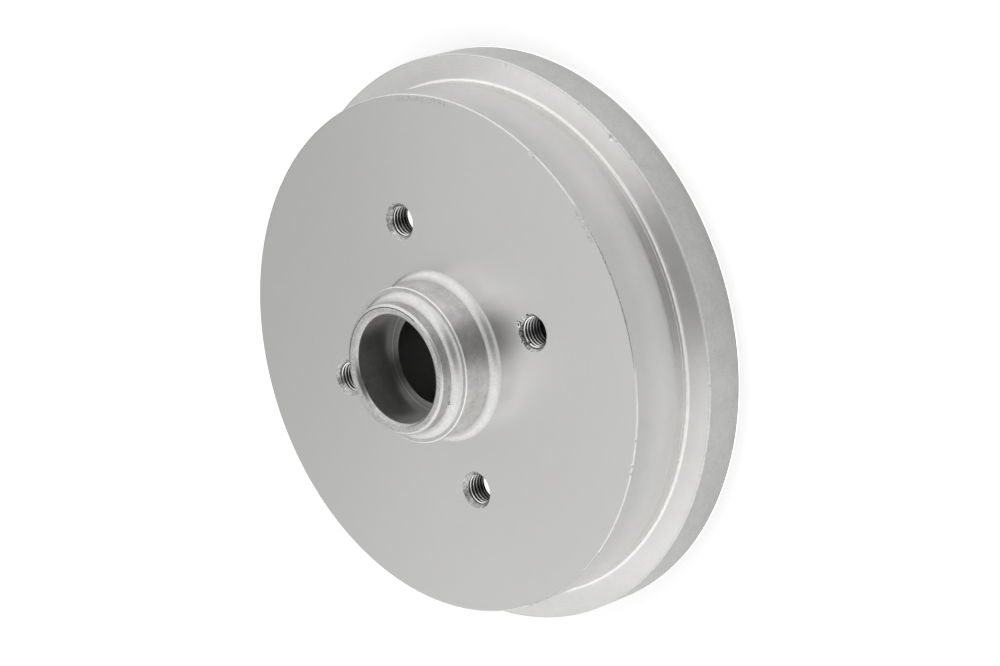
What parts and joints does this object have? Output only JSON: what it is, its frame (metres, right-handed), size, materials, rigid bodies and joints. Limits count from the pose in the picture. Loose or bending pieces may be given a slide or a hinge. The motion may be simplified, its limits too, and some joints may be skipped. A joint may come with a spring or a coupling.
{
  "type": "brake drum",
  "caption": "Shallow cast-iron brake drum with a stepped rim flange and an integral wheel hub whose stepped bore takes the wheel bearings.",
  "frame": {"origin": "on the axle's line, in the plane of the open rim that the drum stands on", "axes": "+Z along the axle, from the open rim towards the hub's nose; +X through the middle of one wheel bolt hole"},
  "size_m": [0.21, 0.21, 0.0639],
  "materials": {
    "machined_iron": "fine-turned, satin"
  },
  "bodies": {
    "root": {"brake_drum": "machined_iron"}
  },
  "joints": []
}
